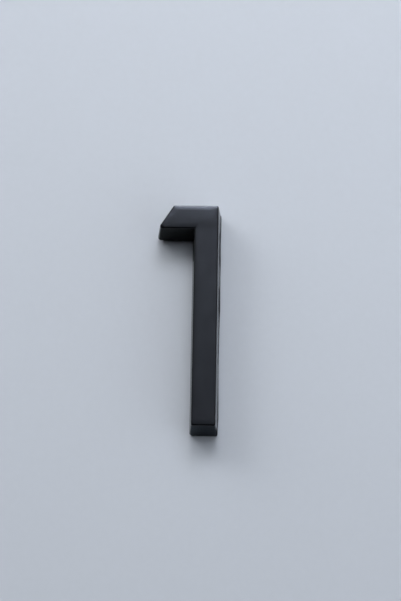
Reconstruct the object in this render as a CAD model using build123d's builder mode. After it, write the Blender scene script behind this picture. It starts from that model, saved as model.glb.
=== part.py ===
from build123d import *
import os
from math import radians, tan

os.makedirs("parts", exist_ok=True)

# Self-adhesive door number: a moulded figure 1 on a die-cut foam tape.
# Millimetres. X runs across the figure, Z up it, and the front faces -Y.
# The origin is on the wall, behind the middle of the stem at half height.

# Figure, measured at the rim, where it is largest
figure_height = 50.0
figure_width = 13.7
stem_width = 6.0
flag_height = 6.1
slope_angle = 57.5

# Moulded body
body_depth = 7.0
draft_angle = 3.5
corner_radius = 0.4
tip_radius = 0.62
front_edge_radius = 0.35

# Cored back
side_wall = 1.4
front_wall = 1.8
rib_thickness = 1.0
rib_count = 4

# Foam tape, stuck on a little to the right, where its edge shows beside the rim
tape_thickness = 1.0
tape_inset = 0.2
tape_shift = 0.4

right = stem_width / 2
left = -stem_width / 2
top = figure_height / 2
bottom = -figure_height / 2
flag_bottom = top - flag_height

# The tip is drawn sharp, so it starts outside the width that its round leaves
tip_trim = tip_radius / tan(radians(slope_angle / 2)) - tip_radius
tip = right - figure_width - tip_trim
slope_top = tip + flag_height / tan(radians(slope_angle))

notch = (left, flag_bottom)
corners = [
    (right, bottom),
    (right, top),
    (slope_top, top),
    (tip, flag_bottom),
    notch,
    (left, bottom),
]

# Outline of the figure with sharp corners
with BuildSketch(Plane.XZ) as sharp_outline:
    with BuildLine():
        Polyline(*corners, close=True)
    make_face()

# Openings of the cored back, one cell between each two ribs
cell_bottom = bottom + side_wall
ribbed_length = flag_bottom - cell_bottom
rib_pitch = ribbed_length / rib_count
with BuildSketch(Plane.XZ) as core_outline:
    add(sharp_outline.sketch_local)
    offset(amount=-side_wall, kind=Kind.INTERSECTION)
    with Locations((0, cell_bottom + ribbed_length / 2 + rib_pitch / 2)):
        with GridLocations(0, rib_pitch, 1, rib_count):
            Rectangle(stem_width, rib_thickness, mode=Mode.SUBTRACT)

# Body: drafted walls, every outer corner rounded and the notch left sharp, cored from the back
with BuildPart() as digit_body:
    with BuildSketch(Plane.XZ.offset(tape_thickness)):
        add(sharp_outline.sketch_local)
    extrude(amount=body_depth, taper=draft_angle)
    corner_edges = digit_body.edges().group_by(Axis.Y)[1]
    middle = -tape_thickness - body_depth / 2
    outer_edges = corner_edges.sort_by_distance((left, middle, flag_bottom))[1:].sort_by(Axis.X)
    fillet(outer_edges[1:], corner_radius)
    tip_edge = digit_body.edges().sort_by_distance(outer_edges[0].center())[0]
    fillet(tip_edge, tip_radius)
    fillet(digit_body.faces().sort_by(Axis.Y)[0].edges(), front_edge_radius)
    with BuildSketch(Plane.XZ.offset(tape_thickness)):
        add(core_outline.sketch_local)
    extrude(amount=body_depth - front_wall, taper=draft_angle, mode=Mode.SUBTRACT)

digit_body.part.label = "digit_body"
export_step(digit_body.part, "parts/digit_body.step")

# Tape: cut a little smaller than the rim, and closes the cored back
with BuildPart() as foam_tape:
    with BuildSketch(Plane.XZ.shift_origin((tape_shift, 0, 0))) as tape_outline:
        add(sharp_outline.sketch_local)
        outer_corners = tape_outline.vertices().sort_by_distance((*notch, 0))[1:].sort_by(Axis.X)
        fillet(outer_corners[1:], corner_radius)
        tip_corner = tape_outline.vertices().sort_by(Axis.X)[0]
        fillet(tip_corner, tip_radius)
        offset(amount=-tape_inset)
    extrude(amount=tape_thickness)

foam_tape.part.label = "foam_tape"
export_step(foam_tape.part, "parts/foam_tape.step")
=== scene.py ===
import math

import bmesh
import bpy
from mathutils import Matrix, Vector, noise


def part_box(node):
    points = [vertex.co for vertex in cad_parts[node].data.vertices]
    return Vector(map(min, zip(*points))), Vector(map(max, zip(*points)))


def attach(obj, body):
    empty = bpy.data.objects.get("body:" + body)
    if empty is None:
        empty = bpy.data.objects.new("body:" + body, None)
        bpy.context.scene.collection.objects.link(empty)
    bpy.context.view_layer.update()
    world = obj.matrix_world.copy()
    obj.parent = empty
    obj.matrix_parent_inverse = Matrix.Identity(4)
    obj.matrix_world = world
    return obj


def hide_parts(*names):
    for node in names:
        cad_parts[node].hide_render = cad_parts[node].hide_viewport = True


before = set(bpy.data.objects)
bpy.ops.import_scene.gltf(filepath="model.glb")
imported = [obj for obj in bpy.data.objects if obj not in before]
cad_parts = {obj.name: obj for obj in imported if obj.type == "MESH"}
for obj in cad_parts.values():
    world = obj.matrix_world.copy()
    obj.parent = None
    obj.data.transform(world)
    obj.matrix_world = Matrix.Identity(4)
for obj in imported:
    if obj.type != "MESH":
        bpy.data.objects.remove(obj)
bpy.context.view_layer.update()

MM = 0.001

# Figure: the overall sizes come from the parts in model.glb, and these are as in the part's source.
# The tip's radius only places its sharp corner, and the radii below round it.
STEM_WIDTH = 6.0 * MM
FLAG_HEIGHT = 6.1 * MM
SLOPE_ANGLE = math.radians(57.5)
DRAFT = math.radians(3.5)
TIP_RADIUS = 0.62 * MM
EDGE_RADIUS = 0.35 * MM

# Round of the rim, and how fast the corners grow rounder from the front edge inwards
RIM_RADIUS = 0.1 * MM
ROUNDER = 0.4

# Mesh: steps along the outlines, and the angle from which an edge stays sharp
ARC_STEPS = 8
BODY_PITCH = 1.0 * MM
TAPE_PITCH = 0.15 * MM
TAPE_ROWS = 12
SHARP_ANGLE = math.radians(30)

# The front face dips a little towards its edges
CROWN_WIDTH = 1.0 * MM
CROWN_TILT = math.radians(4.2)

# Across the flag the face swells a little
SWELL_CENTRE = (-1.5 * MM, -8.0 * MM, 21.5 * MM)
SWELL_REACH = (9.0 * MM, 3.0 * MM, 2.8 * MM)
SWELL_HEIGHT = 0.034 * MM

# Cored back
SIDE_WALL = 1.4 * MM
FRONT_WALL = 1.8 * MM
RIB_THICKNESS = 1.0 * MM
RIB_COUNT = 4
CORE_OVERCUT = 0.5 * MM

# Foam tape, and how far its right edge shows past the rim at each height, in millimetres
TAPE_INSET = 0.2 * MM
TAPE_EDGE = [
    (-24.5, 0.04), (-22.8, 0.07), (-21, 0.16), (-17.6, 0.11), (-8.7, 0.01), (-1.5, 0.07), (1.5, 0.12),
    (3, 0.19), (5.3, 0.18), (8, 0.13), (11, 0.12), (14.4, 0.17), (16.3, 0.12), (18, 0.1), (21.8, 0.15),
]
TAPE_LEAST_RADIUS = 0.08 * MM
CUT_WAVE = 0.015 * MM
WAVE_SIZE = 0.5 * MM
PINCH = 0.03 * MM

# The tape lies a little lower at the foot and higher under the flag, and this is how far each fades out
FOOT_DROP = 0.11 * MM
FLAG_LIFT = 0.1 * MM
HEIGHT_FADE = 2.0 * MM
FLAG_FADE = 1.0 * MM
TIP_FADE = 4.0 * MM

# Painted shade on the right wall: a duller, less shiny strip from the rim forwards stands in for the darker
# reflection of the shaded gap at the base. These are how deep it reaches at each height, in millimetres.
# Its edge is soft and wanders, and it stays on the wall that faces right.
GAP_SHADE_LOW, GAP_SHADE_HIGH = -25, 25
GAP_SHADE_DEEPEST = 4
GAP_SHADE_SOFTNESS = 2.0 * MM
GAP_SHADE_WANDER = 1.5 * MM
GAP_SHADE_GRAIN = 0.8 * MM
FACES_RIGHT = 0.6
GAP_SHADE_REACH = [
    (-24.9, 4), (-24.1, 3.5), (-23.5, 1.5), (-21, 1.0), (-18, 1.2), (-11, 1.2), (-9.5, 2.5), (-7, 2.5),
    (-5, 1.4), (1.0, 1.4), (2.3, 3.3), (6.9, 3.3), (8.2, 0.7), (11.9, 0.8), (13.2, 3.4), (19.2, 3.5),
    (21, 0.5),
]

# Camera: it looks from below and a little from the right
CAMERA_DOWN = math.radians(17.87)
CAMERA_RIGHT = math.radians(0.90)
CAMERA_ROLL = math.radians(1.03)
CAMERA_DISTANCE = 516.6 * MM
CAMERA_AIM = Vector((-1.070, -4.0, 4.245)) * MM
CAMERA_LENS = 143.76

# Wall, in metres, and how far in front of the tape's back it lies
WALL_HALF = 1.5
WALL_GAP = 0.01 * MM
BACKDROP = (0.508, 0.545, 0.601)

# Cards that only reflections see: two large dark ones, and two small ones close to the wall.
# The small ones end this far in front of the tape's back, and this far below an edge of the figure.
DARK_CARD = (0.01, 0.01, 0.01)
FLAG_CARD = (0.165, 0.185, 0.195)
END_CARD = (0.185, 0.22, 0.27)
CARD_GAP = 0.25 * MM
CARD_DROP = 4.5 * MM

# Light: strength of the surroundings, distance of the panels in metres, and their colours
AMBIENT = 0.01
PANEL_DISTANCE = 1.0
SKY, HAZE = (0.90, 1.02, 1.30), (0.965, 1.01, 1.15)
WARM, FILL = (1.01, 1.0, 0.98), (0.96, 1.0, 1.06)

body_low, body_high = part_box("digit_body")
tape_low, tape_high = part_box("foam_tape")
rim_y, front_y = body_high.y, body_low.y
depth = rim_y - front_y
lean = depth * math.tan(DRAFT)

right, left = body_high.x, body_high.x - STEM_WIDTH
top, bottom = body_high.z, body_low.z
flag_bottom = top - FLAG_HEIGHT
tip = body_low.x - TIP_RADIUS * (1 / math.tan(SLOPE_ANGLE / 2) - 1)
slope_top = tip + FLAG_HEIGHT / math.tan(SLOPE_ANGLE)

# How each corner is rounded at the rim and at the front, in the order of the corners below
RIM_RADII = [radius * MM for radius in (0.55, 0.4, 0.4, 0.72, 0.08, 0.55)]
FRONT_RADII = [radius * MM for radius in (0.35, 0.4, 0.4, 0.53, 0.08, 0.35)]

# Corners of the figure's rim, counterclockwise from the front
FIGURE = [
    Vector((right, bottom)),
    Vector((right, top)),
    Vector((slope_top, top)),
    Vector((tip, flag_bottom)),
    Vector((left, flag_bottom)),
    Vector((left, bottom)),
]


# Outlines, rings and meshes

def clamp(value):
    return max(0.0, min(1.0, value))


def directions(corners):
    """Unit direction of the edge that leaves each corner."""
    count = len(corners)
    return [(corners[(i + 1) % count] - corners[i]).normalized() for i in range(count)]


def inward(direction):
    return Vector((-direction.y, direction.x))


def inset_corners(corners, inset):
    """The sharp corners, with every edge moved inwards by inset."""
    out = directions(corners)
    moved = []
    for i, corner in enumerate(corners):
        before, after = inward(out[i - 1]), inward(out[i])
        moved.append(corner + (before + after) * (inset / (1 + before.dot(after))))
    return moved


def rounded_outline(corners, radii, edge_steps):
    """Points round a closed outline, with an arc at each corner and even steps along each edge."""
    out = directions(corners)
    arcs = []
    for i, corner in enumerate(corners):
        before, after = out[i - 1], out[i]
        turn = math.atan2(before.x * after.y - before.y * after.x, before.dot(after))
        start = corner - before * (radii[i] * math.tan(abs(turn) / 2))
        centre = start + inward(before) * math.copysign(radii[i], turn)
        arm = start - centre
        arcs.append([centre + Matrix.Rotation(turn * k / ARC_STEPS, 2) @ arm for k in range(ARC_STEPS + 1)])
    points = []
    for i, arc in enumerate(arcs):
        points += arc
        end, start = arc[-1], arcs[(i + 1) % len(arcs)][0]
        points += [end.lerp(start, k / edge_steps[i]) for k in range(1, edge_steps[i])]
    return points


def even_steps(corners, pitch):
    """How many steps of about the pitch each edge takes."""
    count = len(corners)
    lengths = [(corners[(i + 1) % count] - corners[i]).length for i in range(count)]
    return [max(1, round(length / pitch)) for length in lengths]


def loft(mesh, rings):
    """Joins rings of equal length with quads, and closes both ends."""
    rows = [[mesh.verts.new(point) for point in ring] for ring in rings]
    count = len(rows[0])
    for low, high in zip(rows, rows[1:]):
        for k in range(count):
            mesh.faces.new((low[k], low[(k + 1) % count], high[(k + 1) % count], high[k]))
    mesh.faces.new(reversed(rows[0]))
    mesh.faces.new(rows[-1])


def mesh_object(name, rings):
    """A closed loft as a new object.

    The ends stay whole polygons: triangles between points in a line would have no area and no true normal.
    """
    mesh = bmesh.new()
    loft(mesh, rings)
    bmesh.ops.recalc_face_normals(mesh, faces=mesh.faces)
    data = bpy.data.meshes.new(name)
    mesh.to_mesh(data)
    mesh.free()
    made = bpy.data.objects.new(name, data)
    bpy.context.collection.objects.link(made)
    return made


def apply_modifiers(made):
    graph = bpy.context.evaluated_depsgraph_get()
    data = bpy.data.meshes.new_from_object(made.evaluated_get(graph))
    made.modifiers.clear()
    made.data = data


def shade(made):
    """Smooth shading that keeps flat faces flat and sharp edges sharp."""
    made.data.shade_smooth()
    made.data.set_sharp_from_angle(angle=SHARP_ANGLE)
    weighted = made.modifiers.new("weighted", "WEIGHTED_NORMAL")
    weighted.keep_sharp = True
    apply_modifiers(made)


# Moulded figure

def body_profile():
    """Section from the rim to the flat of the face, as (inset, distance in front of the rim)."""
    crown_start = depth - CROWN_WIDTH * math.tan(CROWN_TILT) / 2
    centre_out = crown_start - EDGE_RADIUS * math.cos(CROWN_TILT)
    centre_in = (EDGE_RADIUS + centre_out * math.sin(DRAFT)) / math.cos(DRAFT)
    rim_steps, edge_steps, crown_steps = 4, 14, 10
    profile = []
    for k in range(rim_steps + 1):
        angle = math.radians(90 * k / rim_steps)
        profile.append((RIM_RADIUS * (1 - math.sin(angle)), RIM_RADIUS * (1 - math.cos(angle))))
    for k in range(edge_steps + 1):
        angle = (math.pi / 2 - DRAFT) * (1 - k / edge_steps) + CROWN_TILT * k / edge_steps
        inset = centre_in - EDGE_RADIUS * math.sin(angle)
        profile.append((inset, centre_out + EDGE_RADIUS * math.cos(angle)))
    face_edge = profile[-1][0]
    for k in range(1, crown_steps + 1):
        run = CROWN_WIDTH * k / crown_steps
        rise = run * math.tan(CROWN_TILT) * (1 - run / (2 * CROWN_WIDTH))
        profile.append((face_edge + run, crown_start + rise))
    return profile


def body_rings():
    """Rings of the outside, whose corners change from the rim's radii to the front's."""
    steps = even_steps(FIGURE, BODY_PITCH)
    rings = []
    for inset, out in body_profile():
        growth = ROUNDER * max(0.0, inset - lean)
        share = min(1.0, out / depth)
        radii = [rim + (front - rim) * share + growth for rim, front in zip(RIM_RADII, FRONT_RADII)]
        points = rounded_outline(inset_corners(FIGURE, inset), radii, steps)
        rings.append([(p.x, rim_y - out, p.y) for p in points])
    return rings


def core_cells():
    """Corners of the hollows in the back: one below each rib, and the last one reaches into the flag."""
    inner = inset_corners(FIGURE, SIDE_WALL)
    low, high = inner[0].y, flag_bottom
    pitch = (high - low) / RIB_COUNT
    west, east = inner[5].x, inner[0].x
    cells = []
    floor = low
    for k in range(RIB_COUNT):
        rib = low + pitch * (k + 1)
        ceiling = rib - RIB_THICKNESS / 2
        corners = ((east, floor), (east, ceiling), (west, ceiling), (west, floor))
        cells.append([Vector(corner) for corner in corners])
        floor = rib + RIB_THICKNESS / 2
    cells.append([Vector((east, floor))] + inner[1:5] + [Vector((west, floor))])
    return cells


def cut_core(body):
    core_depth = depth - FRONT_WALL
    for number, cell in enumerate(core_cells()):
        rings = []
        for out in (-CORE_OVERCUT, core_depth):
            points = inset_corners(cell, out * math.tan(DRAFT))
            rings.append([(p.x, rim_y - out, p.y) for p in points])
        cutter = mesh_object(f"core_{number}", rings)
        cut = body.modifiers.new("core", "BOOLEAN")
        cut.operation, cut.solver, cut.object = "DIFFERENCE", "EXACT", cutter
        apply_modifiers(body)
        bpy.data.objects.remove(cutter)


def make_body():
    body = mesh_object("moulded_figure", body_rings())
    cut_core(body)
    shade(body)
    body.data.materials.clear()
    body.data.materials.append(body_material())
    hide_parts("digit_body")
    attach(body, "root")


# Foam tape

def tape_right_edge(height):
    """Where the tape's right edge is at a height, in straight lines from stop to stop."""
    stops = [(low * MM, proud * MM) for low, proud in TAPE_EDGE]
    proud = stops[0][1] if height < stops[0][0] else stops[-1][1]
    for (low, low_proud), (high, high_proud) in zip(stops, stops[1:]):
        if low <= height < high:
            proud = low_proud + (high_proud - low_proud) * (height - low) / (high - low)
    return body_high.x + proud


def laid_on(x, height):
    """Where the outline's x comes on the wall: past the rim on the right, and short of it at the tip."""
    if x > 0:
        return x * tape_right_edge(height) / (body_high.x - TAPE_INSET)
    short = tape_low.x - body_low.x - TAPE_INSET
    return x + short * clamp((left - x) / TIP_FADE)


def laid_up(x, height):
    """Where the outline's height comes on the wall: lower at the foot, and higher under the flag."""
    at_foot = clamp(1 - (height - bottom) / HEIGHT_FADE)
    at_flag = clamp(1 - (height - flag_bottom) / HEIGHT_FADE) * clamp((left - x) / FLAG_FADE)
    return height - FOOT_DROP * at_foot + FLAG_LIFT * at_flag


def tape_rings():
    """The cut edge waves a little, and the foam is pinched where the glue films hold it."""
    steps = even_steps(FIGURE, TAPE_PITCH)
    thickness = tape_high.y - tape_low.y
    radii = [max(radius - TAPE_INSET, TAPE_LEAST_RADIUS) for radius in RIM_RADII]
    rings = []
    for k in range(TAPE_ROWS + 1):
        share = k / TAPE_ROWS
        pinch = PINCH * (2 * share - 1) ** 2
        outline = rounded_outline(inset_corners(FIGURE, TAPE_INSET + pinch + CUT_WAVE), radii, steps)
        ring = []
        for i, point in enumerate(outline):
            along = (outline[(i + 1) % len(outline)] - outline[i - 1]).normalized()
            place = Vector((point.x, thickness * share, point.y)) / WAVE_SIZE
            point = point + inward(along) * (CUT_WAVE * noise.noise(place))
            y = tape_high.y - thickness * share
            ring.append((laid_on(point.x, point.y), y, laid_up(point.x, point.y)))
        rings.append(ring)
    return rings


def make_tape():
    tape = mesh_object("foam_pad", tape_rings())
    shade(tape)
    tape.data.materials.append(tape_material())
    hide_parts("foam_tape")
    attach(tape, "root")


# Materials, with their detail in real sizes

def new_material(name):
    material = bpy.data.materials.new(name)
    material.use_nodes = True
    tree = material.node_tree
    return material, tree, tree.nodes["Principled BSDF"]


def noise_texture(tree, size, detail=2.0, stretch=(1, 1, 1)):
    """Grain of about the given size, fixed to the piece and drawn out along the stretched axes."""
    place = tree.nodes.new("ShaderNodeTexCoord")
    scale = tree.nodes.new("ShaderNodeMapping")
    scale.inputs["Scale"].default_value = [1 / (size * along) for along in stretch]
    grain = tree.nodes.new("ShaderNodeTexNoise")
    grain.inputs["Scale"].default_value = 1.0
    grain.inputs["Detail"].default_value = detail
    tree.links.new(place.outputs["Object"], scale.inputs["Vector"])
    tree.links.new(scale.outputs["Vector"], grain.inputs["Vector"])
    return grain.outputs["Fac"]


def bump(tree, height, distance, under=None):
    node = tree.nodes.new("ShaderNodeBump")
    node.inputs["Distance"].default_value = distance
    tree.links.new(height, node.inputs["Height"])
    if under:
        tree.links.new(under, node.inputs["Normal"])
    return node.outputs["Normal"]


def spread(tree, value, low, high):
    """Maps a texture's middle range to the range from low to high."""
    node = tree.nodes.new("ShaderNodeMapRange")
    node.inputs["From Min"].default_value = 0.3
    node.inputs["From Max"].default_value = 0.7
    node.inputs["To Min"].default_value = low
    node.inputs["To Max"].default_value = high
    tree.links.new(value, node.inputs["Value"])
    return node.outputs["Result"]


def colours(tree, value, low, high):
    node = tree.nodes.new("ShaderNodeMix")
    node.data_type = "RGBA"
    node.inputs["A"].default_value = (*low, 1)
    node.inputs["B"].default_value = (*high, 1)
    tree.links.new(spread(tree, value, 0, 1), node.inputs["Factor"])
    return node.outputs["Result"]


def feed(tree, socket, value):
    """Gives a socket a number, or links it to another node's output."""
    if isinstance(value, float):
        socket.default_value = value
    else:
        tree.links.new(value, socket)


def math_node(tree, operation, *values):
    node = tree.nodes.new("ShaderNodeMath")
    node.operation = operation
    for socket, value in zip(node.inputs, values):
        feed(tree, socket, value)
    return node.outputs["Value"]


def painted_gap_shade_mask(tree):
    """1 on the right wall's strip of painted shade, which shines less, and 0 elsewhere."""
    place = tree.nodes.new("ShaderNodeTexCoord")
    axes = tree.nodes.new("ShaderNodeSeparateXYZ")
    tree.links.new(place.outputs["Object"], axes.inputs["Vector"])
    facing = tree.nodes.new("ShaderNodeSeparateXYZ")
    tree.links.new(place.outputs["Normal"], facing.inputs["Vector"])
    reach = tree.nodes.new("ShaderNodeValToRGB")
    span = GAP_SHADE_HIGH - GAP_SHADE_LOW
    stops = reach.color_ramp.elements
    stops.remove(stops[1])
    for number, (height, shaded_depth) in enumerate(GAP_SHADE_REACH):
        share = (height - GAP_SHADE_LOW) / span
        stop = stops.new(share) if number else stops[0]
        stop.position = share
        stop.color = [shaded_depth / GAP_SHADE_DEEPEST] * 3 + [1]
    share = math_node(tree, "MULTIPLY_ADD", axes.outputs["Z"], 1 / (span * MM), -GAP_SHADE_LOW / span)
    tree.links.new(share, reach.inputs["Fac"])
    front = math_node(tree, "MULTIPLY_ADD", reach.outputs["Color"], -GAP_SHADE_DEEPEST * MM, rim_y)
    grain = noise_texture(tree, GAP_SHADE_GRAIN, 3.0)
    wander = math_node(tree, "MULTIPLY_ADD", grain, 2 * GAP_SHADE_WANDER, -GAP_SHADE_WANDER)
    inside = math_node(tree, "SUBTRACT", axes.outputs["Y"], math_node(tree, "ADD", front, wander))
    mask = math_node(tree, "MULTIPLY_ADD", inside, 1 / GAP_SHADE_SOFTNESS, 0.5)
    mask = math_node(tree, "MINIMUM", math_node(tree, "MAXIMUM", mask, 0.0), 1.0)
    on_wall = math_node(tree, "GREATER_THAN", facing.outputs["X"], FACES_RIGHT)
    return math_node(tree, "MULTIPLY", mask, on_wall)


def blend(tree, share, low, high):
    """From low to high, as the share goes from 0 to 1."""
    node = tree.nodes.new("ShaderNodeMix")
    feed(tree, node.inputs["A"], low)
    feed(tree, node.inputs["B"], high)
    feed(tree, node.inputs["Factor"], share)
    return node.outputs["Result"]


def swell(tree):
    """Height of the swelling across the flag, from 0 to 1."""
    place = tree.nodes.new("ShaderNodeTexCoord")
    offset = tree.nodes.new("ShaderNodeMapping")
    offset.inputs["Location"].default_value = [-c / r for c, r in zip(SWELL_CENTRE, SWELL_REACH)]
    offset.inputs["Scale"].default_value = [1 / r for r in SWELL_REACH]
    ball = tree.nodes.new("ShaderNodeTexGradient")
    ball.gradient_type = "SPHERICAL"
    rounded = tree.nodes.new("ShaderNodeMapRange")
    rounded.interpolation_type = "SMOOTHSTEP"
    tree.links.new(place.outputs["Object"], offset.inputs["Vector"])
    tree.links.new(offset.outputs["Vector"], ball.inputs["Vector"])
    tree.links.new(ball.outputs["Fac"], rounded.inputs["Value"])
    return rounded.outputs["Result"]


def body_material():
    """Black plastic: a faintly wavy moulded skin, a fine grain, and drag marks from front to back.

    A strip of painted shade on the right wall is rougher and shines less, so that its reflection is darker.
    """
    material, tree, shader = new_material("black_moulding")
    mottle = noise_texture(tree, 2.5 * MM)
    base = colours(tree, mottle, (0.0026, 0.0030, 0.0040), (0.0036, 0.0040, 0.0052))
    tree.links.new(base, shader.inputs["Base Color"])
    # Painted shade: a strip of the right wall near the rim is rougher and reflects less
    gap_shade = painted_gap_shade_mask(tree)
    tree.links.new(blend(tree, gap_shade, spread(tree, mottle, 0.20, 0.24), 0.6), shader.inputs["Roughness"])
    tree.links.new(blend(tree, gap_shade, 0.25, 0.08), shader.inputs["Specular IOR Level"])
    shader.inputs["IOR"].default_value = 1.5
    swelling = bump(tree, swell(tree), SWELL_HEIGHT)
    skin = bump(tree, noise_texture(tree, 5 * MM, 0.0), 0.02 * MM, swelling)
    marks = bump(tree, noise_texture(tree, 0.15 * MM, 1.0, (1, 20, 1)), 0.001 * MM, skin)
    grain = bump(tree, noise_texture(tree, 0.15 * MM), 0.002 * MM, marks)
    tree.links.new(grain, shader.inputs["Normal"])
    return material


def tape_material():
    """Black foam with fine cells."""
    material, tree, shader = new_material("black_foam")
    cells = tree.nodes.new("ShaderNodeTexVoronoi")
    cells.inputs["Scale"].default_value = 1 / (0.18 * MM)
    place = tree.nodes.new("ShaderNodeTexCoord")
    tree.links.new(place.outputs["Object"], cells.inputs["Vector"])
    base = colours(tree, cells.outputs["Distance"], (0.016, 0.016, 0.018), (0.006, 0.006, 0.007))
    tree.links.new(base, shader.inputs["Base Color"])
    tree.links.new(spread(tree, noise_texture(tree, 0.4 * MM), 0.75, 0.95), shader.inputs["Roughness"])
    tree.links.new(bump(tree, cells.outputs["Distance"], 0.04 * MM), shader.inputs["Normal"])
    return material


def wall_material():
    """Pale satin paint with a very faint grain. Seen from behind, the wall is clear."""
    material, tree, shader = new_material("painted_board")
    low, high = [channel * 0.992 for channel in BACKDROP], [channel * 1.008 for channel in BACKDROP]
    tree.links.new(colours(tree, noise_texture(tree, 1.5 * MM, 3.0), low, high), shader.inputs["Base Color"])
    tree.links.new(spread(tree, noise_texture(tree, 4 * MM), 0.66, 0.74), shader.inputs["Roughness"])
    tree.links.new(bump(tree, noise_texture(tree, 0.6 * MM), 0.003 * MM), shader.inputs["Normal"])
    clear = tree.nodes.new("ShaderNodeBsdfTransparent")
    facing = tree.nodes.new("ShaderNodeNewGeometry")
    mix = tree.nodes.new("ShaderNodeMixShader")
    tree.links.new(facing.outputs["Backfacing"], mix.inputs[0])
    tree.links.new(shader.outputs[0], mix.inputs[1])
    tree.links.new(clear.outputs[0], mix.inputs[2])
    tree.links.new(mix.outputs[0], tree.nodes["Material Output"].inputs["Surface"])
    return material


def card_material(name, colour):
    material, _, shader = new_material(name)
    shader.inputs["Base Color"].default_value = (*colour, 1)
    shader.inputs["Roughness"].default_value = 1.0
    shader.inputs["Specular IOR Level"].default_value = 0.0
    return material


# Stage and light

def upright(y, low_x, high_x, low_z, high_z):
    """Corners of an upright plane that faces the front."""
    return [(low_x, y, low_z), (high_x, y, low_z), (high_x, y, high_z), (low_x, y, high_z)]


def plane(name, corners, material):
    data = bpy.data.meshes.new(name)
    data.from_pydata(corners, [], [(0, 1, 2, 3)])
    data.materials.append(material)
    made = bpy.data.objects.new(name, data)
    bpy.context.collection.objects.link(made)
    return made


def make_wall():
    """The wall lies a hair in front of the tape's back, so that the back takes the light from behind."""
    y = tape_high.y - WALL_GAP
    plane("wall", upright(y, -WALL_HALF, WALL_HALF, -WALL_HALF, WALL_HALF), wall_material())


def reflection_card(name, corners, colour):
    """A card that only reflections see."""
    card = plane(name, corners, card_material(name, colour))
    card.visible_camera = False
    card.visible_diffuse = False
    card.visible_shadow = False
    card.visible_transmission = False


def near_card(name, low_x, high_x, edge, gap, colour):
    """A dull card in front of the wall and below an edge. It darkens the faces above it that look down."""
    corners = upright(tape_high.y - CARD_GAP, low_x, high_x, edge - CARD_DROP, edge - gap)
    reflection_card(name, corners, colour)


def panel(name, elevations, azimuths, radiance, colour=(1, 1, 1), *, seen_by, distance=PANEL_DISTANCE):
    """A flat light panel that faces the figure, set by the angles it spans; azimuth 0 is straight in front.

    seen_by keeps a panel out of the reflections ("matt") or makes it light nothing else ("gloss").
    """
    elevation, azimuth = sum(elevations) / 2, sum(azimuths) / 2
    tall, wide = (math.radians(high - low) for low, high in (elevations, azimuths))
    e, a = math.radians(elevation), math.radians(azimuth)
    light = bpy.data.lights.new(name, "AREA")
    light.shape = "RECTANGLE"
    light.size = 2 * distance * math.tan(wide / 2) * math.cos(e)
    light.size_y = 2 * distance * math.tan(tall / 2)
    light.energy = radiance * math.pi * light.size * light.size_y
    light.color = colour
    made = bpy.data.objects.new(name, light)
    bpy.context.collection.objects.link(made)
    away = Vector((math.sin(a) * math.cos(e), -math.cos(a) * math.cos(e), math.sin(e)))
    made.location = away * distance
    made.rotation_mode = "QUATERNION"
    made.rotation_quaternion = away.to_track_quat("Z", "Y")
    made.visible_camera = False
    made.visible_glossy = seen_by != "matt"
    made.visible_diffuse = seen_by != "gloss"


def make_world():
    """The backdrop's colour for camera, glossy and transmission rays, and a faint light for all others."""
    world = bpy.data.worlds.new("studio")
    world.use_nodes = True
    tree = world.node_tree
    tree.nodes.clear()
    path = tree.nodes.new("ShaderNodeLightPath")
    seen = math_node(tree, "MAXIMUM", path.outputs["Is Camera Ray"], path.outputs["Is Glossy Ray"])
    seen = math_node(tree, "MAXIMUM", seen, path.outputs["Is Transmission Ray"])
    ambient = tree.nodes.new("ShaderNodeBackground")
    ambient.inputs["Color"].default_value = (1, 1, 1, 1)
    ambient.inputs["Strength"].default_value = AMBIENT
    pale = tree.nodes.new("ShaderNodeBackground")
    pale.inputs["Color"].default_value = (*BACKDROP, 1)
    pale.inputs["Strength"].default_value = 1.0
    mix = tree.nodes.new("ShaderNodeMixShader")
    tree.links.new(seen, mix.inputs[0])
    tree.links.new(ambient.outputs[0], mix.inputs[1])
    tree.links.new(pale.outputs[0], mix.inputs[2])
    output = tree.nodes.new("ShaderNodeOutputWorld")
    tree.links.new(mix.outputs[0], output.inputs["Surface"])
    bpy.context.scene.world = world


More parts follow.
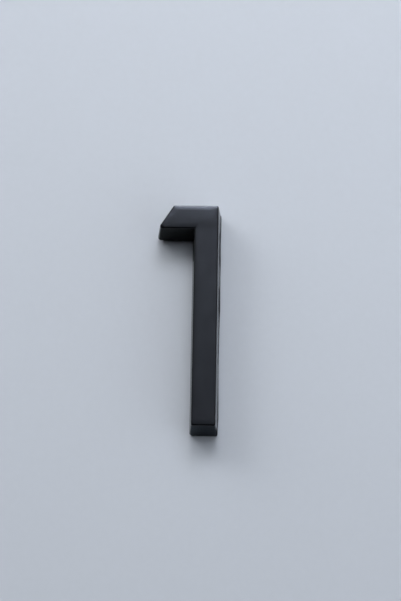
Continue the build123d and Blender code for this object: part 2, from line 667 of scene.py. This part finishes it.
def make_lights():
    panel("key", (24, 50), (-9, 9), 5.0, WARM, seen_by="matt")
    panel("key_near", (24, 50), (-9, 9), 2.3, WARM, seen_by="matt", distance=0.35)
    panel("key_side", (24, 50), (9, 22), 0.85, seen_by="matt")
    panel("left_near", (24, 50), (-38, -9), 2.25, seen_by="matt")
    panel("left_window", (20, 50), (-60, -38), 5.3, seen_by="matt")
    panel("left_far", (20, 50), (-88, -60), 2.4, seen_by="matt")
    panel("right_near", (20, 50), (22, 38), 2.4, seen_by="matt")
    panel("right_far", (10, 40), (60, 88), 1.35, seen_by="matt", distance=0.3)
    panel("low_front", (0, 20), (-9, 22), 2.45, FILL, seen_by="matt")
    panel("low_right", (-50, 8), (38, 88), 1.4, FILL, seen_by="matt")
    panel("low_left", (0, 20), (-88, -40), 0.5, FILL, seen_by="matt")
    panel("top_left", (50, 80), (-88, -40), 1.6, seen_by="matt")
    panel("top_right", (50, 80), (40, 88), 0.5, seen_by="matt", distance=0.3)
    panel("back", (10, 50), (150, 210), 5.0, seen_by="matt")
    panel("gloss_key", (30, 38), (-10, 8), 32.5, SKY, seen_by="gloss")
    panel("gloss_side", (34, 50), (8, 24), 50.0, SKY, seen_by="gloss")
    panel("gloss_front", (0, 22), (-10, 24), 0.5, SKY, seen_by="gloss")
    panel("gloss_top", (76, 88), (-55, 55), 35.0, HAZE, seen_by="gloss")
    panel("gloss_top_low", (52, 65), (-25, 25), 6.8, HAZE, seen_by="gloss")


def make_cards():
    """The large ones stand in front of the figure and lie under it, in metres."""
    half, front, floor, upper = 2.5, -1.5, -1.5, 0.4
    reflection_card("low_card", upright(front, -half, half, floor, upper), DARK_CARD)
    floor_corners = [(-half, front, floor), (half, front, floor), (half, 0, floor), (-half, 0, floor)]
    reflection_card("floor_card", floor_corners, DARK_CARD)
    near_card("flag_card", -14 * MM, left - 0.1 * MM, flag_bottom, 0.1 * MM, FLAG_CARD)
    near_card("end_card", -5.5 * MM, 5.5 * MM, bottom, 0.05 * MM, END_CARD)


def make_camera():
    look = Vector((
        -math.sin(CAMERA_RIGHT) * math.cos(CAMERA_DOWN),
        math.cos(CAMERA_RIGHT) * math.cos(CAMERA_DOWN),
        math.sin(CAMERA_DOWN),
    ))
    across = look.cross(Vector((0, 0, 1))).normalized()
    up = across.cross(look)
    rolled_across = across * math.cos(CAMERA_ROLL) + up * math.sin(CAMERA_ROLL)
    rolled_up = up * math.cos(CAMERA_ROLL) - across * math.sin(CAMERA_ROLL)
    turn = Matrix((rolled_across, rolled_up, -look)).transposed()
    data = bpy.data.cameras.new("camera")
    data.sensor_width = 36
    data.lens = CAMERA_LENS
    data.clip_start, data.clip_end = 0.01, 10
    made = bpy.data.objects.new("camera", data)
    made.matrix_world = Matrix.Translation(CAMERA_AIM - look * CAMERA_DISTANCE) @ turn.to_4x4()
    bpy.context.collection.objects.link(made)
    bpy.context.scene.camera = made


make_camera()
make_body()
make_tape()
make_wall()
make_world()
make_lights()
make_cards()
bpy.context.scene.view_settings.view_transform = "Standard"
